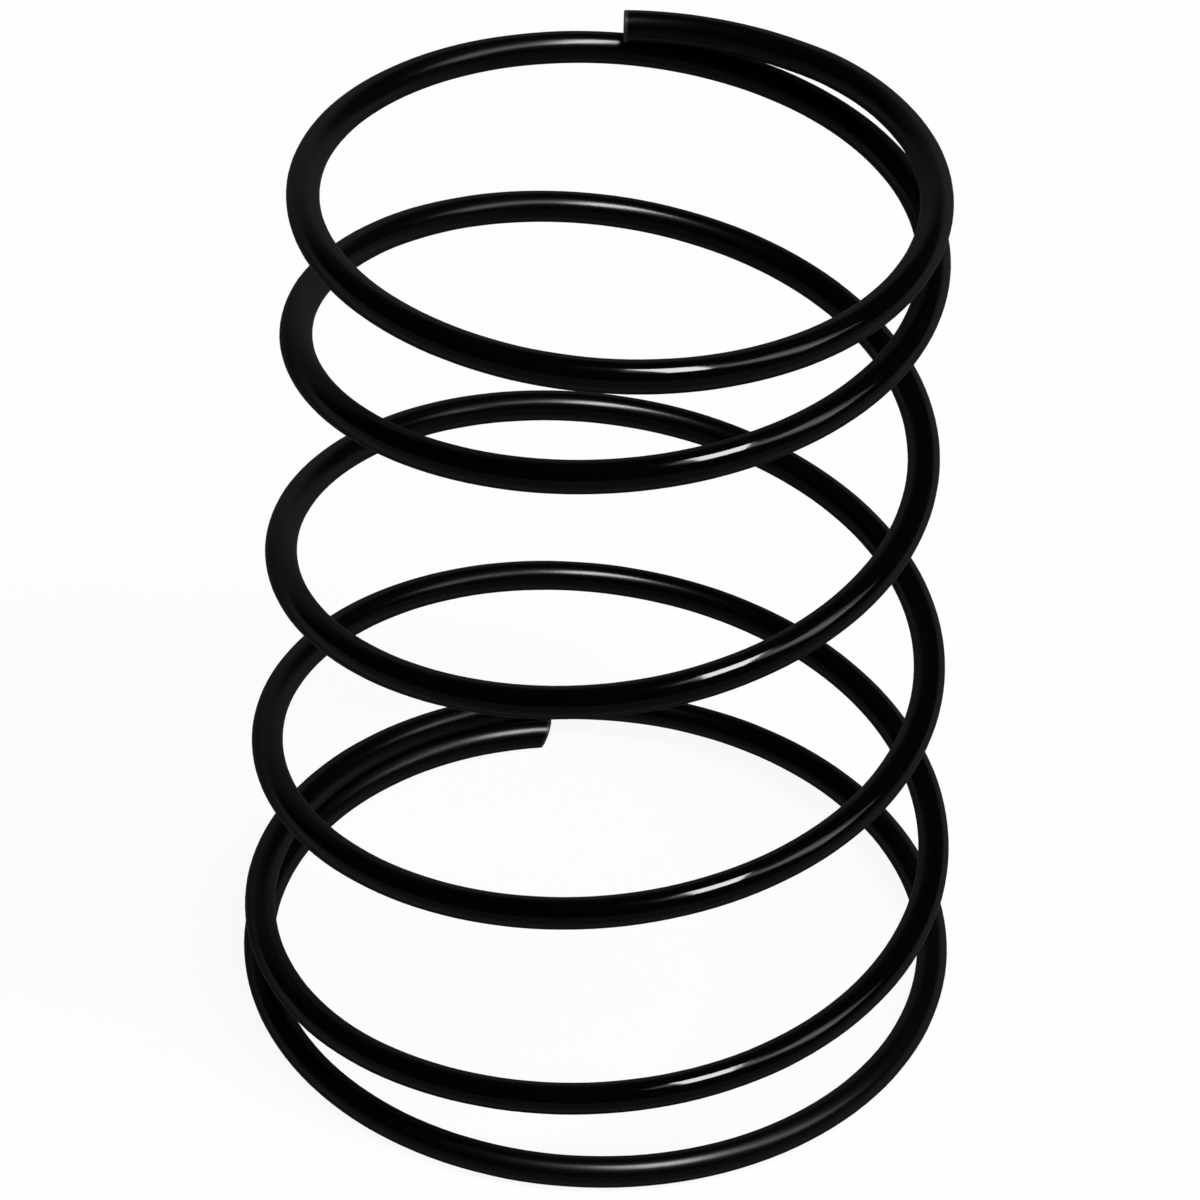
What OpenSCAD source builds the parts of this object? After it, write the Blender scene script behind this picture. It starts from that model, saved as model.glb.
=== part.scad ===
// Cover spring: a compression spring coiled from one round wire. It climbs to the right,
// widens towards its foot, and has closed ends: each cut end lies on the turn next to it.
// The spring stands on its wide end. The origin is the middle of that end, and +Z is its axis.

/* [Wire] */
// Diameter of the round wire
wire_d = 1.6; // [1.4:0.1:2]
// Slant of the lower cut, in degrees
lower_cut_slant = 22; // [0:1:40]
// Where the slanted cut leaves the wire longest: 0 is on the outside and 90 on top
lower_cut_long_side = 63; // [0:1:90]

/* [Coil] */
// Outside diameter of the upper end
upper_outer_d = 32.4; // [30:0.1:36]
// Outside diameter of the lower end
lower_outer_d = 38.1; // [36:0.1:42]
// Height of the spring with no load, over both ends
free_length = 50.2; // [44:0.1:54]
// Turns of wire from the lower cut to the upper one
turns = 5.972; // [5.5:0.001:6.5]
// Direction of the lower cut, seen from above, in degrees from +X
lower_cut_angle = 100; // [0:1:359]

/* [Closed ends] */
// Turns at the lower end that lie flat before the wire starts to climb
lower_seat_turns = 0.48; // [0.4:0.01:0.5]
// Turns at the upper end that lie flat
upper_seat_turns = 0.45; // [0.4:0.01:0.5]
// Gap left between each cut end and the turn that it lies on
end_gap = 0.05; // [0.02:0.01:0.2]
// How far the lower cut end is tucked in towards the axis
lower_tuck = 1; // [0:0.1:1.2]
// How far the upper cut end is tucked in towards the axis
upper_tuck = 0.3; // [0:0.1:1.2]
// Turns over which an end is tucked in
tuck_turns = 0.4; // [0.2:0.05:0.6]

/* [Taper] */
// Turns at the lower end that keep their full diameter
lower_straight_turns = 0.8; // [0.5:0.1:1.5]
// Turns at the upper end that keep their diameter
upper_straight_turns = 1; // [0.5:0.1:1.5]

/* [Smoothness] */
// Sides of the wire's round section
wire_sides = 16; // [8:2:16]
// Sections of wire in one turn
sections_per_turn = 56; // [36:2:58]

/* [Hidden] */
wire_colour = "#161618";

wire_r = wire_d / 2;
upper_r = upper_outer_d / 2 - wire_r;
lower_r = lower_outer_d / 2 - wire_r;
sections = round(turns * sections_per_turn);
small_turn = 0.001;

// Height between a cut end and the turn that it lies on, when the end is tucked in
function step_over(tuck) = sqrt(pow(wire_d + end_gap, 2) - pow(tuck, 2));

// The pitch grows evenly after the flat stretch: this is its gain for each turn
function pitch_gain(tuck, seat_turns) = 2 * step_over(tuck) / pow(1 - seat_turns, 2);
lower_gain = pitch_gain(lower_tuck, lower_seat_turns);
upper_gain = pitch_gain(upper_tuck, upper_seat_turns);

// The open pitch at which both ramps and the turns between them add up to the free length:
// climbing_turns * pitch - ramp_share * pitch^2 = climb
climb = free_length - wire_d;
climbing_turns = turns - lower_seat_turns - upper_seat_turns;
ramp_share = (1 / lower_gain + 1 / upper_gain) / 2;
open_pitch = (climbing_turns - sqrt(max(0, pow(climbing_turns, 2) - 4 * ramp_share * climb)))
    / (2 * ramp_share);

// Height gained some turns past the flat stretch, first along the ramp, then at the open pitch
function climbed(past, gain) =
    past <= 0 ? 0
    : past < open_pitch / gain ? gain * pow(past, 2) / 2
    : open_pitch * (past - open_pitch / (2 * gain));

// Height of the wire's centre, worked up from the foot and down from the top
function height(turn) =
    turn < turns / 2
    ? wire_r + climbed(turn - lower_seat_turns, lower_gain)
    : free_length - wire_r - climbed(turns - turn - upper_seat_turns, upper_gain);

// 0 in the straight stretch at the foot, 1 in the one at the top, and a smooth rise between
function taper(turn) =
    let (part = (turn - lower_straight_turns) / (turns - lower_straight_turns - upper_straight_turns))
    let (along = min(1, max(0, part)))
    along * along * (3 - 2 * along);

function tucked(from_end, depth) = depth * pow(max(0, 1 - from_end / tuck_turns), 2);

function coil_r(turn) =
    lower_r + (upper_r - lower_r) * taper(turn)
    - tucked(turn, lower_tuck) - tucked(turns - turn, upper_tuck);

function unit(v) = v / norm(v);

function outward(turn) =
    let (angle = lower_cut_angle + 360 * turn)
    [cos(angle), sin(angle), 0];

function centre(turn) = coil_r(turn) * outward(turn) + [0, 0, height(turn)];

function ahead(turn) = unit(centre(turn + small_turn) - centre(turn - small_turn));

// One round section of the wire, square to its run. A slant leans the section, as a cut does.
function section(turn, slant = 0) =
    let (run = ahead(turn))
    let (out = unit(outward(turn) - (outward(turn) * run) * run))
    let (up = cross(out, run))
    [for (side = [0 : wire_sides - 1])
        let (angle = 360 * side / wire_sides)
        let (lean = cos(angle - lower_cut_long_side) * tan(slant))
        centre(turn) + wire_r * (cos(angle) * out + sin(angle) * up - lean * run)];

wire_points = [for (i = [0 : sections])
    each section(turns * i / sections, i == 0 ? lower_cut_slant : 0)];

function corner(i, side) = i * wire_sides + side % wire_sides;

wall_faces = [for (i = [0 : sections - 1], side = [0 : wire_sides - 1])
    each [
        [corner(i, side), corner(i, side + 1), corner(i + 1, side + 1)],
        [corner(i, side), corner(i + 1, side + 1), corner(i + 1, side)],
    ]];
lower_cut_face = [for (side = [wire_sides - 1 : -1 : 0]) corner(0, side)];
upper_cut_face = [for (side = [0 : wire_sides - 1]) corner(sections, side)];

// The whole spring: the round section swept from the lower cut to the upper one
module spring() {
    color(wire_colour)
        polyhedron(points = wire_points, faces = concat(wall_faces, [lower_cut_face, upper_cut_face]));
}

spring();
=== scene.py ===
# %% [markdown]
# A cover spring from one length of wire
# The real object is a single piece: round spring steel wire, wound into a coil that narrows
# towards its top, cut off at both ends and coated with gloss black enamel. It pushes a cover or
# a cap back out when the hand lets go.
# Its construction is drawn elsewhere, to its real size. This script loads that drawing as a
# fixed frame and dresses it, so the first step keeps the drawing's box: every size that is
# worked out later can be held against it.

# %% Load the frame
import math

import bpy
from mathutils import Euler, Matrix, Vector


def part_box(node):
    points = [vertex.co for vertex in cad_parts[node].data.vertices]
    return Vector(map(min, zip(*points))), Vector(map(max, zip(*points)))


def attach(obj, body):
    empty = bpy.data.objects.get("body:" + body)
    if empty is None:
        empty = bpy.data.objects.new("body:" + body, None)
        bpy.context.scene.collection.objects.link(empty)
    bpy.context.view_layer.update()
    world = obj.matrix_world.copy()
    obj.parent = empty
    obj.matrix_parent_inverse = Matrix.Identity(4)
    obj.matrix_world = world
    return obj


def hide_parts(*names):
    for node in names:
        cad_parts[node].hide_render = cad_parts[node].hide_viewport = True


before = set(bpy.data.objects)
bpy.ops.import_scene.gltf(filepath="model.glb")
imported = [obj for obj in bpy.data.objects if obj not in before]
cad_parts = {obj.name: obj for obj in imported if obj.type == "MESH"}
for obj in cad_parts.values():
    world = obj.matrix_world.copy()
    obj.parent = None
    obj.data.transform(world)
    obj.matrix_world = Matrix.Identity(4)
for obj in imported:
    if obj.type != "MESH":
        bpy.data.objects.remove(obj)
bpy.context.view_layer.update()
spring_low, spring_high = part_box("spring")
print("the drawn spring reaches from", spring_low[:], "to", spring_high[:])

# %% [markdown]
# Sizes of the wire and of the coil
# A spring maker orders a spring by its wire diameter, its outside diameters, its free length and
# its number of turns, and then says how the ends are formed. The same few sizes drive the look
# here. The free length is read from the frame, and the rest are the drawing's own values.

# %% Sizes
MM = 0.001
WIRE_D = 1.6 * MM
WIRE_R = WIRE_D / 2
LOWER_OUTER_D = 38.1 * MM
UPPER_OUTER_D = 32.4 * MM
FREE_LENGTH = spring_high.z - spring_low.z
TURNS = 5.972
LOWER_CUT_ANGLE = math.radians(100)
print("the spring is", round(FREE_LENGTH / MM, 2), "mm long and has", TURNS, "turns")

# %% Closed ends and taper
LOWER_SEAT_TURNS = 0.48
UPPER_SEAT_TURNS = 0.45
END_GAP = 0.05 * MM
LOWER_TUCK = 1.0 * MM
UPPER_TUCK = 0.3 * MM
TUCK_TURNS = 0.4
LOWER_STRAIGHT_TURNS = 0.8
UPPER_STRAIGHT_TURNS = 1.0
LOWER_CUT_SLANT = math.radians(22)
LOWER_CUT_LONG_SIDE = math.radians(63)
print("outside diameter grows from", UPPER_OUTER_D / MM, "to", LOWER_OUTER_D / MM, "mm")

# %% [markdown]
# How steeply the wire climbs
# Both ends are closed: the wire starts flat, then its pitch grows evenly until the turn has
# stepped over the cut end, and between the two ends it climbs at one open pitch. The ramps and
# the open turns have to add up to the free length, which gives a quadratic for that pitch. It is
# solved here once, because a node tree would have to solve it again for every point.

# %% Work out the pitch
def ramp_gain(tuck, seat_turns):
    """How much the pitch grows in each turn of a closed end, so that it just clears the cut end."""
    step_over = math.sqrt((WIRE_D + END_GAP) ** 2 - tuck**2)
    return 2 * step_over / (1 - seat_turns) ** 2


LOWER_RAMP = ramp_gain(LOWER_TUCK, LOWER_SEAT_TURNS)
UPPER_RAMP = ramp_gain(UPPER_TUCK, UPPER_SEAT_TURNS)
climb = FREE_LENGTH - WIRE_D
climbing_turns = TURNS - LOWER_SEAT_TURNS - UPPER_SEAT_TURNS
ramp_share = (1 / LOWER_RAMP + 1 / UPPER_RAMP) / 2
root = math.sqrt(climbing_turns**2 - 4 * ramp_share * climb)
OPEN_PITCH = (climbing_turns - root) / (2 * ramp_share)
print("open pitch", round(OPEN_PITCH / MM, 2), "mm")

# %% [markdown]
# One helper for every node
# Both the shape and the finish are made of nodes. Written out in full, each node takes several
# lines: make it, set it, link it. One small function does all three, and it is the same for
# geometry and for shading, so the rest of the script reads as a list of steps.

# %% The node helper
def add(tree, kind, feeds=(), **settings):
    """Adds a node with its settings. Feeds go to its inputs, a list in order and a dict by identifier.
    A feed is a value, an output, or a node, which stands for its first output that is in use."""
    node = tree.nodes.new(kind)
    for name, value in settings.items():
        setattr(node, name, value)
    sockets = node.inputs
    if isinstance(feeds, dict):
        by_name = {socket.identifier: socket for socket in node.inputs}
        sockets = [by_name[name] for name in feeds]
        feeds = feeds.values()
    for socket, feed in zip(sockets, feeds):
        if isinstance(feed, bpy.types.Node):
            feed = next(output for output in feed.outputs if output.enabled)
        if isinstance(feed, bpy.types.NodeSocket):
            tree.links.new(feed, socket)
        else:
            socket.default_value = feed
    return node

# %% [markdown]
# Colours as people write them
# A hex value such as #0b0b0c is in sRGB, the scale of a screen. Shaders work in linear light, so
# one function turns each value, and the colours in this script can be compared with a picture.

# %% Colours
def linear(hex_colour):
    """An sRGB hex colour as the linear red, green, blue and alpha that a shader takes."""
    parts = [int(hex_colour[i : i + 2], 16) / 255 for i in (1, 3, 5)]
    return [p / 12.92 if p <= 0.04045 else ((p + 0.055) / 1.055) ** 2.4 for p in parts] + [1]


ENAMEL = linear("#050406")
ENAMEL_THICK = linear("#020202")
# The grey of thin enamel on the cut rims, which is also a painted highlight there.
ENAMEL_THIN_AND_RIM_HIGHLIGHT = linear("#2c2b2a")
PAPER_WHITE = linear("#f2f2f2")
print("enamel in linear light", [round(c, 4) for c in ENAMEL[:3]])

# %% [markdown]
# Gloss black enamel on spring steel
# The coil is dipped or sprayed and then baked, which leaves a hard film a few hundredths of a
# millimetre thick. To the eye it is almost pure black with small bright streaks where a lamp is
# mirrored. The film isn't perfect: it runs a little thicker and thinner along the wire, it has
# the soft pimples that are called orange peel, and it follows the lengthwise lines that the die
# left when the wire was drawn. So the finish reads where it is on the wire: the coil below
# stores a place for every point, across the section and along the wire, in metres.

# %% Start the enamel
enamel = bpy.data.materials.new("black_enamel_on_spring_steel")
enamel.use_nodes = True
film = enamel.node_tree
shader = film.nodes["Principled BSDF"]
wire_place = add(film, "ShaderNodeAttribute", attribute_name="wire_place").outputs["Vector"]
from_cut = add(film, "ShaderNodeAttribute", attribute_name="from_cut").outputs["Fac"]
print("started", enamel.name)

# %% Slow changes in the film
# A noise keeps to the middle of its range, so that part alone is spread over the whole gloss.
FILM_RUN = 4 * MM
NOISE_MIDDLE = (0.35, 0.65)
GLOSS = (0.06, 0.11)
run = add(film, "ShaderNodeTexNoise", {"Vector": wire_place, "Scale": 1 / FILM_RUN, "Detail": 3.0})
gloss = add(film, "ShaderNodeMapRange", [run, *NOISE_MIDDLE, *GLOSS])
tones = {"Factor_Float": run, "A_Color": ENAMEL, "B_Color": ENAMEL_THICK}
tone = add(film, "ShaderNodeMix", tones, data_type="RGBA")
print("roughness runs from", GLOSS[0], "to", GLOSS[1])

# %% Orange peel and draw marks
# The draw marks of a die are some 0.02 mm apart. They are drawn six times as coarse, so that
# they still show as a faint grain in the streaks.
PEEL = 0.5 * MM
PEEL_HEIGHT = 0.0012 * MM
DRAW_MARKS = 0.12 * MM
DRAW_STRETCH = 30
DRAW_HEIGHT = 0.0005 * MM
peel = add(film, "ShaderNodeTexNoise", {"Vector": wire_place, "Scale": 1 / PEEL, "Detail": 1.0})
stretched = add(film, "ShaderNodeMapping", {"Vector": wire_place, "Scale": (1, 1, 1 / DRAW_STRETCH)})
drawn = add(film, "ShaderNodeTexNoise", {"Vector": stretched, "Scale": 1 / DRAW_MARKS, "Detail": 1.0})
peel_bump = add(film, "ShaderNodeBump", {"Height": peel, "Distance": PEEL_HEIGHT, "Strength": 1.0})
marks = {"Height": drawn, "Distance": DRAW_HEIGHT, "Strength": 1.0, "Normal": peel_bump}
film_bump = add(film, "ShaderNodeBump", marks)
print("peel is", PEEL / MM, "mm across and draw marks", DRAW_MARKS / MM, "mm")

# %% [markdown]
# Duller inside and at the foot
# Enamel is sprayed from outside the coil, so the side of the wire that faces the axis gets only
# the mist that drifts through the gaps, and dries duller. The lowest turn is rubbed where the
# spring stands, which takes some of its shine off too. So the streaks on the far turns, which
# show their inner side, and the one on the foot come out wider and weaker than the others. The
# place on the wire says which side is which: its first number is the distance out from the
# wire's middle, and its third is the distance along the wire from the lower cut.

# %% Gloss inside and at the foot
INSIDE_GLOSS = 0.2
INSIDE = (0.2 * WIRE_R, -0.3 * WIRE_R)
FOOT_GLOSS = 0.26
FOOT = (80 * MM, 120 * MM)
place = add(film, "ShaderNodeSeparateXYZ", [wire_place]).outputs
inside = add(film, "ShaderNodeMapRange", [place["X"], *INSIDE, 0.0, 1.0])
sides = {"Factor_Float": inside, "A_Float": gloss, "B_Float": INSIDE_GLOSS}
sided_gloss = add(film, "ShaderNodeMix", sides)
foot = add(film, "ShaderNodeMapRange", [place["Z"], *FOOT, 1.0, 0.0])
worn = {"Factor_Float": foot, "A_Float": sided_gloss, "B_Float": FOOT_GLOSS}
worn_gloss = add(film, "ShaderNodeMix", worn)
print("roughness is", INSIDE_GLOSS, "inside the coil and", FOOT_GLOSS, "at its foot")

# %% [markdown]
# Thin enamel and a painted highlight on the cut rims
# Liquid paint draws back from a sharp edge, so on the rims of both cuts the film is thin and a
# little steel grey shows through it, and the sheared face inside is duller than the wall. That
# lighter grey is also a painted highlight, for the light that the rounded rims catch. The coil
# stores how far each point is from the nearer cut. A noise shifts that distance, which gives the
# band a ragged edge instead of a neat painted line.

# %% Thin rims with a painted highlight
THIN_FILM_AND_HIGHLIGHT_BAND = (0.05 * MM, 0.2 * MM)
RAGGED = 0.1 * MM
THIN_GLOSS = 0.38
ragged = add(film, "ShaderNodeMath", [peel, -RAGGED, from_cut], operation="MULTIPLY_ADD")
thin_film_and_highlight = add(film, "ShaderNodeMapRange", [ragged, *THIN_FILM_AND_HIGHLIGHT_BAND, 1.0, 0.0])
thinned_and_highlighted = {"Factor_Float": thin_film_and_highlight, "A_Color": tone, "B_Color": ENAMEL_THIN_AND_RIM_HIGHLIGHT}
# The rims get the thin enamel's grey, which also paints a highlight on them.
colour = add(film, "ShaderNodeMix", thinned_and_highlighted, data_type="RGBA")
dulled = add(film, "ShaderNodeMix", {"Factor_Float": thin_film_and_highlight, "A_Float": worn_gloss, "B_Float": THIN_GLOSS})
print("the thin band fades out", round(THIN_FILM_AND_HIGHLIGHT_BAND[1] / MM, 2), "mm from the cut")

# %% [markdown]
# Sheen towards the edges
# Seen at a flat angle, a fine roughness that the eye misses face on spreads the mirrored light
# far apart. So the edges of the wire, where it curves out of sight, look black and soft, not
# like a bright outline of the white floor. Layer Weight says how flat the angle is, and the
# gloss changes over from the film's own to a dull one between two of its values.

# %% Sheen towards the edges
EDGE = (0.32, 0.6)
EDGE_GLOSS = 0.85
facing = add(film, "ShaderNodeLayerWeight", {"Blend": 0.5}).outputs["Facing"]
edge = add(film, "ShaderNodeMapRange", [facing, *EDGE, 0.0, 1.0], interpolation_type="SMOOTHSTEP")
sheen = add(film, "ShaderNodeMix", {"Factor_Float": edge, "A_Float": dulled, "B_Float": EDGE_GLOSS})
print("roughness reaches", EDGE_GLOSS, "at the edges")

# %% Join the enamel together
# Baked enamel has an index of about 1.5. The mirror strength is turned down from its usual 0.5,
# because the real wire stands in a dark studio and this one on a white floor.
ENAMEL_IOR = 1.5
ENAMEL_MIRROR = 0.035
shader.inputs["IOR"].default_value = ENAMEL_IOR
shader.inputs["Specular IOR Level"].default_value = ENAMEL_MIRROR
for name, node in (("Base Color", colour), ("Roughness", sheen), ("Normal", film_bump)):
    result = next(output for output in node.outputs if output.enabled)
    film.links.new(result, shader.inputs[name])
print("the enamel has", len(film.nodes), "nodes")

# %% [markdown]
# The coil as a tree of nodes
# A coil follows a rule, so it suits Geometry Nodes: a line of points is bent into the coil, and a
# round section is swept along it. All sizes are named inputs of the tree.

# %% Sizes that only the look needs
# The rings and sides make the wire smooth. The other three shape the slanted cut and the film.
RINGS_PER_TURN = 144
SIDES = 40
LEANING = 2 * MM
UNEVEN_RUN = 3 * MM
FILM_HEIGHT = 0.035 * MM
print("one ring every", round(360 / RINGS_PER_TURN, 2), "degrees")

# %% Inputs of the coil
INPUTS = {
    "Wire radius": WIRE_R,
    "Lower radius": LOWER_OUTER_D / 2 - WIRE_R,
    "Upper radius": UPPER_OUTER_D / 2 - WIRE_R,
    "Free length": FREE_LENGTH,
    "Turns": TURNS,
    "Lower cut angle": LOWER_CUT_ANGLE,
    "Lower seat turns": LOWER_SEAT_TURNS,
    "Upper seat turns": UPPER_SEAT_TURNS,
    "Open pitch": OPEN_PITCH,
    "Lower ramp": LOWER_RAMP,
    "Upper ramp": UPPER_RAMP,
    "Lower tuck": LOWER_TUCK,
    "Upper tuck": UPPER_TUCK,
    "Tuck turns": TUCK_TURNS,
    "Lower straight turns": LOWER_STRAIGHT_TURNS,
    "Upper straight turns": UPPER_STRAIGHT_TURNS,
    "Cut slant": LOWER_CUT_SLANT,
    "Cut long side": LOWER_CUT_LONG_SIDE,
    "Leaning length": LEANING,
    "Film height": FILM_HEIGHT,
    "Film waves per metre": 1 / UNEVEN_RUN,
    "Rings": round(TURNS * RINGS_PER_TURN),
    "Sides": SIDES,
    "Finish": enamel,
}
SOCKETS = {float: "NodeSocketFloat", int: "NodeSocketInt", bpy.types.Material: "NodeSocketMaterial"}
coil = bpy.data.node_groups.new("coiled_wire", "GeometryNodeTree")
coil.interface.new_socket("Wire", in_out="OUTPUT", socket_type="NodeSocketGeometry")
input_ids = {
    name: coil.interface.new_socket(name, in_out="INPUT", socket_type=SOCKETS[type(value)]).identifier
    for name, value in INPUTS.items()
}
size = add(coil, "NodeGroupInput").outputs
print("the coil has", len(input_ids), "named inputs")

# %% [markdown]
# Where each ring of the wire is
# The points are numbered from the lower cut. Their number gives the turn that they are on, and
# the turn gives the distance to the nearer end, because both ends are formed by the same rule.
# Then the rule gives each ring's height and its distance from the axis.

# %% Turn of each ring
ring = add(coil, "GeometryNodeInputIndex")
turn = add(coil, "ShaderNodeMapRange", [ring, 0.0, size["Rings"], 0.0, size["Turns"]])
turns_left = add(coil, "ShaderNodeMath", [size["Turns"], turn], operation="SUBTRACT")
from_end = add(coil, "ShaderNodeMath", [turn, turns_left], operation="MINIMUM")
upper_half = add(
    coil, "FunctionNodeCompare", [turn, turns_left],
    operation="GREATER_THAN", data_type="FLOAT",
)
print("rings are numbered from 0 to", INPUTS["Rings"])

# %% Height of each ring
# The wire lies flat for the seat turns, climbs along the ramp, and then at the open pitch.
ramps = [size["Lower ramp"], size["Upper ramp"]]
ramp = add(coil, "GeometryNodeSwitch", [upper_half, *ramps], input_type="FLOAT")
seats = [size["Lower seat turns"], size["Upper seat turns"]]
seat = add(coil, "GeometryNodeSwitch", [upper_half, *seats], input_type="FLOAT")
past_seat = add(coil, "ShaderNodeMath", [from_end, seat], operation="SUBTRACT")
climbing = add(coil, "ShaderNodeMath", [past_seat, 0.0], operation="MAXIMUM")
ramp_turns = add(coil, "ShaderNodeMath", [size["Open pitch"], ramp], operation="DIVIDE")
on_ramp = add(coil, "ShaderNodeMath", [climbing, ramp_turns], operation="MINIMUM")
off_ramp = add(coil, "ShaderNodeMath", [climbing, on_ramp], operation="SUBTRACT")
ramp_square = add(coil, "ShaderNodeMath", [on_ramp, on_ramp], operation="MULTIPLY")
twice_ramp_climb = add(coil, "ShaderNodeMath", [ramp_square, ramp], operation="MULTIPLY")
ramp_climb = add(coil, "ShaderNodeMath", [twice_ramp_climb, 2.0], operation="DIVIDE")
climbed = add(coil, "ShaderNodeMath", [off_ramp, size["Open pitch"], ramp_climb], operation="MULTIPLY_ADD")
from_foot = add(coil, "ShaderNodeMath", [climbed, size["Wire radius"]], operation="ADD")
from_top = add(coil, "ShaderNodeMath", [size["Free length"], from_foot], operation="SUBTRACT")
height = add(coil, "GeometryNodeSwitch", [upper_half, from_foot, from_top], input_type="FLOAT")
print(len(coil.nodes), "nodes up to the height of a ring")

# %% Distance of each ring from the axis
# The diameter is straight at both ends and narrows smoothly between, and each cut end is tucked
# in towards the axis.
taper_end = add(coil, "ShaderNodeMath", [size["Turns"], size["Upper straight turns"]], operation="SUBTRACT")
tapered = add(
    coil, "ShaderNodeMapRange",
    [turn, size["Lower straight turns"], taper_end, size["Lower radius"], size["Upper radius"]],
    interpolation_type="SMOOTHSTEP",
)
tucks = [size["Lower tuck"], size["Upper tuck"]]
tuck = add(coil, "GeometryNodeSwitch", [upper_half, *tucks], input_type="FLOAT")
near_end = add(coil, "ShaderNodeMapRange", [from_end, 0.0, size["Tuck turns"], 1.0, 0.0])
near_square = add(coil, "ShaderNodeMath", [near_end, near_end], operation="MULTIPLY")
tucked = add(coil, "ShaderNodeMath", [near_square, tuck], operation="MULTIPLY")
coil_radius = add(coil, "ShaderNodeMath", [tapered, tucked], operation="SUBTRACT")
print(len(coil.nodes), "nodes up to its distance from the axis")

# %% [markdown]
# Uneven winding
# A coiling machine pushes the wire against two pins, and small changes in how it feeds leave
# every turn a few tenths of a millimetre off its place. A noise would be uneven as well, but not
# in the way that this spring is. So two curves say how far the wire is off, sideways and up, and
# their points can be moved by hand. The turn above the lower cut is pulled down on to the cut
# end. A Float Curve runs from 0 to 1 both ways, so a half stands for no offset at all.

# %% How far each turn is off
# Each pair is a turn, counted from the lower cut, and the offset there in millimetres.
MOST_OFF = 0.5
OFF_SIDEWAYS = (
    (0, 0), (0.3, 0), (0.8, 0.28), (1.22, 0.17), (1.72, 0.21), (2.22, 0.02), (2.72, 0.06),
    (3.22, -0.11), (3.72, -0.15), (4.22, -0.06), (4.72, 0.16), (5.22, 0.12), (5.7, 0.12), (TURNS, 0),
)
OFF_UPWARDS = (
    (0, 0), (0.85, 0), (1, -0.06), (1.12, -0.16), (1.3, -0.14), (1.5, 0.28), (2, 0.09),
    (2.5, -0.07), (3, -0.33), (3.45, -0.15), (4, 0.35), (4.5, 0.18), (5, 0.02), (5.3, 0.23),
    (5.55, -0.1), (5.78, 0.3), (5.88, 0.12), (TURNS, -0.04),
)
print("the turns are up to", max(abs(off) for _, off in OFF_SIDEWAYS + OFF_UPWARDS), "mm off")

# %% Two curves for the winding
# A new curve comes with two points, so those are moved first and the others are added.
wound = add(coil, "ShaderNodeMath", [turn, size["Turns"]], operation="DIVIDE")
offsets = []
for places in (OFF_SIDEWAYS, OFF_UPWARDS):
    winding = add(coil, "ShaderNodeFloatCurve", {"Value": wound})
    points = winding.mapping.curves[0].points
    for number, (at_turn, off) in enumerate(places):
        spot = (at_turn / TURNS, (1 + off / MOST_OFF) / 2)
        point = points[number] if number < 2 else points.new(*spot)
        point.location = spot
        point.handle_type = "AUTO_CLAMPED"
    winding.mapping.update()
    span = {"Value": winding, "To Min": -MOST_OFF * MM, "To Max": MOST_OFF * MM}
    offsets.append(add(coil, "ShaderNodeMapRange", span))
uneven = add(coil, "ShaderNodeCombineXYZ", {"X": offsets[0], "Z": offsets[1]})
print("the curves have", len(OFF_SIDEWAYS), "and", len(OFF_UPWARDS), "points")

# %% [markdown]
# From a line to a coil
# A curve primitive and Resample Curve give the numbered points. Each one is set down at its
# distance from the axis and its height, and turned round the axis by its angle. The curve's
# normals are kept level, so the section doesn't twist on its way up.

# %% Bend the centreline
FULL_TURN = 2 * math.pi
angle = add(coil, "ShaderNodeMath", [turn, FULL_TURN, size["Lower cut angle"]], operation="MULTIPLY_ADD")
in_profile = add(coil, "ShaderNodeCombineXYZ", [coil_radius, 0.0, height])
even = add(coil, "ShaderNodeVectorRotate", {"Vector": in_profile, "Angle": angle}, rotation_type="Z_AXIS")
on_coil = add(coil, "ShaderNodeVectorMath", [even, uneven], operation="ADD")
point_count = add(coil, "ShaderNodeMath", [size["Rings"], 1.0], operation="ADD")
line = add(coil, "GeometryNodeCurvePrimitiveLine")
numbered = add(coil, "GeometryNodeResampleCurve", {"Curve": line, "Count": point_count})
bent = add(coil, "GeometryNodeSetPosition", {"Geometry": numbered, "Position": on_coil})
centreline = add(coil, "GeometryNodeSetCurveNormal", {"Curve": bent}, mode="Z_UP")
print(len(coil.nodes), "nodes up to the bent line")

# %% [markdown]
# Remember the place along the wire
# Once the wire is a mesh, nothing says any more how far along it a point is. Capture Attribute
# takes down a value while the line is still a curve, and hands it on to the mesh. Here it keeps
# the distance along the wire, the distance to the nearer cut, and the way that the wire runs.
# The round section keeps where its points are across the wire in the same way.

# %% Keep the place along the wire
along = add(coil, "GeometryNodeSplineParameter").outputs["Length"]
wire_length = add(coil, "GeometryNodeSplineLength").outputs["Length"]
to_upper_cut = add(coil, "ShaderNodeMath", [wire_length, along], operation="SUBTRACT")
nearer_cut = add(coil, "ShaderNodeMath", [along, to_upper_cut], operation="MINIMUM")
heading = add(coil, "GeometryNodeInputTangent")
kept = coil.nodes.new("GeometryNodeCaptureAttribute")
to_keep = {
    "Along": ("FLOAT", along),
    "From cut": ("FLOAT", nearer_cut.outputs["Value"]),
    "Heading": ("VECTOR", heading.outputs["Tangent"]),
}
for name, (kind, field) in to_keep.items():
    kept.capture_items.new(kind, name)
    coil.links.new(field, kept.inputs[name])
coil.links.new(centreline.outputs[0], kept.inputs["Geometry"])
print("kept", ", ".join(to_keep))

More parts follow.
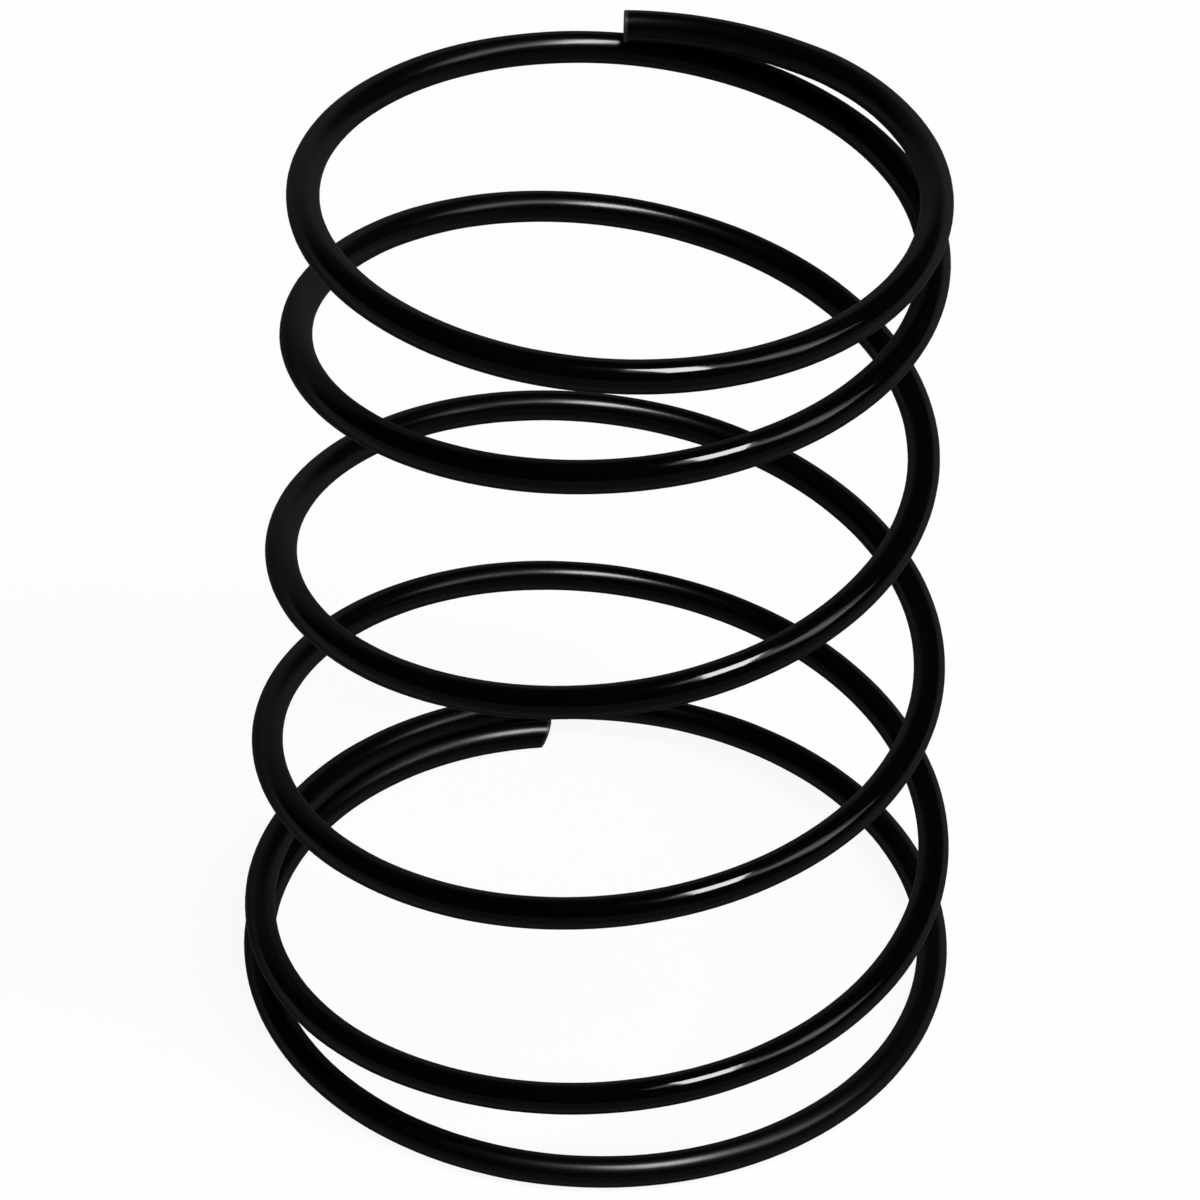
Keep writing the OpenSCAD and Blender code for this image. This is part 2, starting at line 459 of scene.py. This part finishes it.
# %% Sweep the round section
circle = add(
    coil, "GeometryNodeCurvePrimitiveCircle",
    {"Resolution": size["Sides"], "Radius": size["Wire radius"]},
)
section = coil.nodes.new("GeometryNodeCaptureAttribute")
section.capture_items.new("VECTOR", "Across")
coil.links.new(circle.outputs["Curve"], section.inputs["Geometry"])
coil.links.new(add(coil, "GeometryNodeInputPosition").outputs[0], section.inputs["Across"])
swept = add(
    coil, "GeometryNodeCurveToMesh",
    {"Curve": kept.outputs["Geometry"], "Profile Curve": section.outputs["Geometry"], "Fill Caps": True},
)
across = add(coil, "ShaderNodeSeparateXYZ", [section.outputs["Across"]])
print(len(coil.nodes), "nodes up to the swept wire")

# %% [markdown]
# The slanted cut and the uneven film
# The lower end was sheared at a slant, so its longest side is above and outside. Here the last
# rings lean: each point moves along the wire by its distance across, times the slant's tangent.
# Then the film is laid on: the surface is lifted by its thickness, and a slow noise makes that a
# little more here and less there. It is far too little to see as a shape, but it makes the
# streaks of light waver.

# %% Slant the lower cut
leaning = add(coil, "ShaderNodeMapRange", [kept.outputs["Along"], 0.0, size["Leaning length"], 1.0, 0.0])
turned = {"Vector": (1, 0, 0), "Angle": size["Cut long side"]}
cut_normal = add(coil, "ShaderNodeVectorRotate", turned, rotation_type="Z_AXIS")
flipped = [section.outputs["Across"], (1, -1, 0)]
out_and_up = add(coil, "ShaderNodeVectorMath", flipped, operation="MULTIPLY")
long_side = add(coil, "ShaderNodeVectorMath", [out_and_up, cut_normal], operation="DOT_PRODUCT")
slope = add(coil, "ShaderNodeMath", [size["Cut slant"]], operation="TANGENT")
lean = add(coil, "ShaderNodeMath", [long_side, slope], operation="MULTIPLY")
lean_here = add(coil, "ShaderNodeMath", [lean, leaning], operation="MULTIPLY")
leaned = {"Vector": kept.outputs["Heading"], "Scale": lean_here}
back_along = add(coil, "ShaderNodeVectorMath", leaned, operation="SCALE")
back_out = add(coil, "ShaderNodeVectorMath", [(0, 0, 0), back_along], operation="SUBTRACT")
cut = add(coil, "GeometryNodeSetPosition", {"Geometry": swept, "Offset": back_out})
print("the cut leans over", round(WIRE_R * math.tan(LOWER_CUT_SLANT) / MM, 2), "mm to each side")

# %% Uneven film
place_in_wire = [across.outputs["X"], across.outputs["Y"], kept.outputs["Along"]]
in_wire = add(coil, "ShaderNodeCombineXYZ", place_in_wire)
slow = {"Vector": in_wire, "Scale": size["Film waves per metre"], "Detail": 2.0}
waves = add(coil, "ShaderNodeTexNoise", slow)
waves_height = add(coil, "ShaderNodeMapRange", [waves, 0.0, 1.0, 0.0, size["Film height"]])
outwards = add(coil, "GeometryNodeInputNormal")
lifted = {"Vector": outwards, "Scale": waves_height}
film_lift = add(coil, "ShaderNodeVectorMath", lifted, operation="SCALE")
filmed = add(coil, "GeometryNodeSetPosition", {"Geometry": cut, "Offset": film_lift})
print("the film is up to", FILM_HEIGHT / MM, "mm thick")

# %% [markdown]
# End the tree and make it a mesh
# The two places are stored under the names that the enamel reads, and the tree ends in Realize
# Instances and Set Material. The modifier's inputs are set by their identifiers, and the result
# is turned into a plain mesh, because a spring that is finished needs no tree any more. A bevel
# rounds the rims of both cuts a little, where the enamel has run over the sharp edge.

# %% Finish the tree
placed = add(
    coil, "GeometryNodeStoreNamedAttribute",
    {"Geometry": filmed, "Name": "wire_place", "Value": in_wire}, data_type="FLOAT_VECTOR",
)
measured = add(
    coil, "GeometryNodeStoreNamedAttribute",
    {"Geometry": placed, "Name": "from_cut", "Value": kept.outputs["From cut"]}, data_type="FLOAT",
)
whole = add(coil, "GeometryNodeRealizeInstances", {"Geometry": measured})
dressed = add(coil, "GeometryNodeSetMaterial", {"Geometry": whole, "Material": size["Finish"]})
add(coil, "NodeGroupOutput", [dressed])
print("the coil's tree has", len(coil.nodes), "nodes")

# %% Run the tree
CUT_RIM = 0.06 * MM
CUT_RIM_STEPS = 3
SHARP = math.radians(40)
worked = bpy.data.objects.new("wire_tree", bpy.data.meshes.new("wire_tree"))
bpy.context.scene.collection.objects.link(worked)
modifier = worked.modifiers.new("coil", "NODES")
modifier.node_group = coil
for name, value in INPUTS.items():
    modifier[input_ids[name]] = value
rim = worked.modifiers.new("cut_rims", "BEVEL")
rim.width = CUT_RIM
rim.segments = CUT_RIM_STEPS
rim.limit_method = "ANGLE"
rim.angle_limit = SHARP
graph = bpy.context.evaluated_depsgraph_get()
wire_mesh = bpy.data.meshes.new_from_object(worked.evaluated_get(graph), depsgraph=graph)
bpy.data.objects.remove(worked)
print("the wire has", len(wire_mesh.vertices), "points and", len(wire_mesh.polygons), "faces")

# %% Put the wire in the frame
wire_mesh.name = "spring_wire"
wire_mesh.shade_smooth()
spring_wire = bpy.data.objects.new("spring_wire", wire_mesh)
bpy.context.scene.collection.objects.link(spring_wire)
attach(spring_wire, "root")
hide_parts("spring")
print(spring_wire.name, "is finished in", [material.name for material in wire_mesh.materials])

# %% [markdown]
# A plain white floor
# The picture is a product picture on white. The floor is matte and nearly white. Seen by the
# camera, or mirrored in the enamel, most of its light is a plain white glow, so that it stays
# white to the picture's edge, and the rest is real light, which keeps the soft shadow. Its rim is
# turned up, so that a low camera sees paper behind the spring too, and not the dim studio.

# %% Paper
FLOOR_GLOW = 0.93
PLAIN_WHITE = (1, 1, 1, 1)
paper = bpy.data.materials.new("matte_white_paper")
paper.use_nodes = True
sheet = paper.node_tree
sheet.nodes.clear()
rays = add(sheet, "ShaderNodeLightPath").outputs
seen = add(sheet, "ShaderNodeMath", [rays["Is Camera Ray"], rays["Is Glossy Ray"]], operation="ADD")
seen_at_all = add(
    sheet, "ShaderNodeMath", [seen, rays["Is Transmission Ray"]],
    operation="ADD", use_clamp=True,
)
glow_share = add(sheet, "ShaderNodeMath", [seen_at_all, FLOOR_GLOW], operation="MULTIPLY")
matte = add(sheet, "ShaderNodeBsdfDiffuse", {"Color": PAPER_WHITE})
glow = add(sheet, "ShaderNodeEmission", {"Color": PLAIN_WHITE, "Strength": 1.0})
both = add(sheet, "ShaderNodeMixShader", [glow_share, matte, glow])
add(sheet, "ShaderNodeOutputMaterial", [both])
print("the paper has", len(sheet.nodes), "nodes")

# %% Floor
FLOOR_HALF = 1.5
RIM_OUT = 0.3
RIM_HEIGHT = 0.25
square = ((-1, -1), (1, -1), (1, 1), (-1, 1))
flat = [(x * FLOOR_HALF, y * FLOOR_HALF, 0) for x, y in square]
raised = [(x * (FLOOR_HALF + RIM_OUT), y * (FLOOR_HALF + RIM_OUT), RIM_HEIGHT) for x, y in square]
rim_faces = [(i, i + 4, (i + 1) % 4 + 4, (i + 1) % 4) for i in range(4)]
floor_mesh = bpy.data.meshes.new("floor")
floor_mesh.from_pydata(flat + raised, [], [(0, 1, 2, 3), *rim_faces])
floor_mesh.materials.append(paper)
floor = bpy.data.objects.new("floor", floor_mesh)
bpy.context.scene.collection.objects.link(floor)
print("the floor is", 2 * FLOOR_HALF, "m wide inside its rim")

# %% [markdown]
# Soft lamps
# A gloss black wire shows nothing but its lamps. The long streak on the front of every turn is
# one straight strip softbox that rises on the right and ends above the coil. Its upper half is
# far brighter, as it is near the bulb of such a lamp, and makes the white core of each streak,
# and its foot is wider and softer. The strip lights the scene at a plain level. Its core and its
# foot are seen by gloss alone, so that they can be as bright as the picture shows without
# lighting the floor as well. A lamp's power is worked out from how bright its face is, because
# that is what gloss mirrors, whatever its size.

# %% A softbox
COIL_MIDDLE = Vector((0, 0, FREE_LENGTH / 2))
LAMP_DISTANCE = 0.7


def towards(side, rise):
    """The direction to a place in the studio: side 0 is the camera's, 90 the right, and rise is up."""
    side, rise = math.radians(side), math.radians(rise)
    return Vector((math.sin(side) * math.cos(rise), -math.cos(side) * math.cos(rise), math.sin(rise)))


def softbox(name, one_end, other_end, width, brightness, gloss_only=False):
    """A rectangular lamp that faces the coil and reaches from one direction to another.
    The width is in degrees, as seen from the coil. Brightness is that of its face, where 1 is white."""
    start, end = towards(*one_end), towards(*other_end)
    facing = (start + end).normalized()
    upright = (end - start).normalized()
    lamp = bpy.data.lights.new(name, "AREA")
    lamp.shape = "RECTANGLE"
    lamp.size = 2 * LAMP_DISTANCE * math.tan(math.radians(width) / 2)
    lamp.size_y = 2 * LAMP_DISTANCE * math.tan(start.angle(end) / 2)
    lamp.energy = brightness * math.pi * lamp.size * lamp.size_y
    box = bpy.data.objects.new(name, lamp)
    box.visible_camera = False
    box.visible_diffuse = not gloss_only
    box.location = COIL_MIDDLE + facing * LAMP_DISTANCE
    box.rotation_euler = Matrix((upright.cross(facing), upright, facing)).transposed().to_euler()
    bpy.context.scene.collection.objects.link(box)
    print(name, "is", round(lamp.size, 2), "by", round(lamp.size_y, 2), "m")

# %% The strip, its foot and its core
softbox("strip", (76, 35), (10, 74), width=14, brightness=18)
softbox("strip_foot", (78, 33), (62, 60), width=26, brightness=11, gloss_only=True)
softbox("strip_core", (54, 68), (24, 71), width=27, brightness=250, gloss_only=True)

# %% [markdown]
# The studio around
# The studio is dim. A soft pale backdrop behind the coil, a little to the left, gives the broad
# grey sheen on the left of the turns. It is a bright patch of the world, and no object: the
# world looks up how far each direction is from the patch's middle, and fades between two angles.

# %% The studio around
STUDIO = 0.04
BACKDROP = 0.4
BACKDROP_MIDDLE = towards(-160, 12)
BACKDROP_EDGES = (math.cos(math.radians(46)), math.cos(math.radians(18)))
world = bpy.data.worlds.new("studio")
bpy.context.scene.world = world
world.use_nodes = True
around = world.node_tree
around.nodes.clear()
look = add(around, "ShaderNodeTexCoord").outputs["Generated"]
nearness = add(around, "ShaderNodeVectorMath", [look, BACKDROP_MIDDLE], operation="DOT_PRODUCT")
fade = [nearness.outputs["Value"], *BACKDROP_EDGES, STUDIO, BACKDROP]
light = add(around, "ShaderNodeMapRange", fade, interpolation_type="SMOOTHSTEP")
backdrop = add(around, "ShaderNodeBackground", {"Strength": light, "Color": PLAIN_WHITE})
add(around, "ShaderNodeOutputWorld", [backdrop])
print("the studio's light is", STUDIO, "and the backdrop's", BACKDROP)

# %% [markdown]
# The camera
# The picture was taken from above, with a long lens and with the camera turned a little. These
# values were found by laying the coil's worked-out outline over the picture.

# %% Camera
ELEVATION = math.radians(38.28)
ROLL = math.radians(1.99)
DISTANCE = 262.0 * MM
AIM = Vector((-0.18, 0, 24.03)) * MM
SENSOR_MM = 36
LENS_MM = 152.2
NEAREST = 0.01
FARTHEST = 10
camera_data = bpy.data.cameras.new("camera")
camera_data.sensor_width = SENSOR_MM
camera_data.lens = LENS_MM
camera_data.clip_start = NEAREST
camera_data.clip_end = FARTHEST
camera = bpy.data.objects.new("camera", camera_data)
tilt = Euler((math.pi / 2 - ELEVATION, 0, 0)).to_matrix() @ Euler((0, 0, ROLL)).to_matrix()
camera.rotation_euler = tilt.to_euler()
camera.location = AIM + tilt @ Vector((0, 0, DISTANCE))
bpy.context.scene.collection.objects.link(camera)
bpy.context.scene.camera = camera
bpy.context.scene.view_settings.view_transform = "Standard"
print("the camera is at", [round(value / MM, 1) for value in camera.location], "mm")
